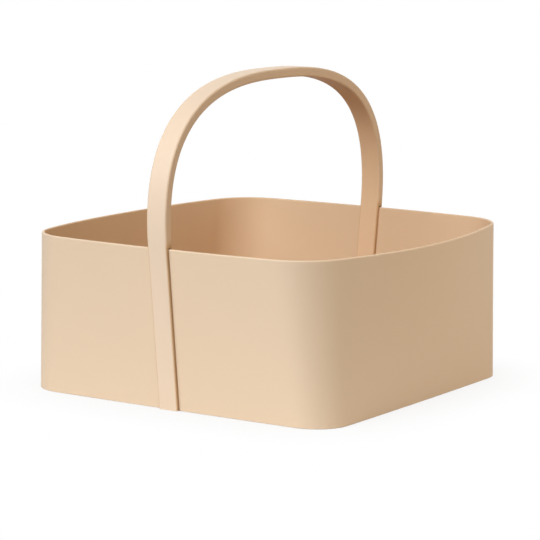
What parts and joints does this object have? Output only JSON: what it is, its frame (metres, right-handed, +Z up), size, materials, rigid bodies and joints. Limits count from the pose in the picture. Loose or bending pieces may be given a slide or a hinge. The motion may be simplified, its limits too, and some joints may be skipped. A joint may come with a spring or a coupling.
{
  "type": "storage basket",
  "caption": "Low open square basket of smooth bent sheet with a flat base and a fixed arched strip handle forked over its rim, for carrying and storing loose things.",
  "frame": {"origin": "middle of the base, on the surface that the basket stands on", "axes": "+Z up; the handle arches along Y, from the front side at -Y to the rear side at +Y; X runs along the handle's width"},
  "size_m": [0.3192, 0.342, 0.2686],
  "materials": {
    "wall_sheet": "smooth matt sand sheet with a very fine grain",
    "base_sheet": "smooth matt sand panel with a very fine grain",
    "handle_strip": "satin sand strip with eased edges",
    "fork_pin": "plain drawn steel pin"
  },
  "bodies": {
    "root": {"side_wall": "wall_sheet", "base_panel": "base_sheet", "handle_outer_strip": "handle_strip", "handle_core_strip": "handle_strip", "handle_inner_strip": "handle_strip", "front_fork_pin_lower_left": "fork_pin", "front_fork_pin_lower_right": "fork_pin", "front_fork_pin_upper_left": "fork_pin", "front_fork_pin_upper_right": "fork_pin", "rear_fork_pin_lower_left": "fork_pin", "rear_fork_pin_lower_right": "fork_pin", "rear_fork_pin_upper_left": "fork_pin", "rear_fork_pin_upper_right": "fork_pin"}
  },
  "joints": []
}
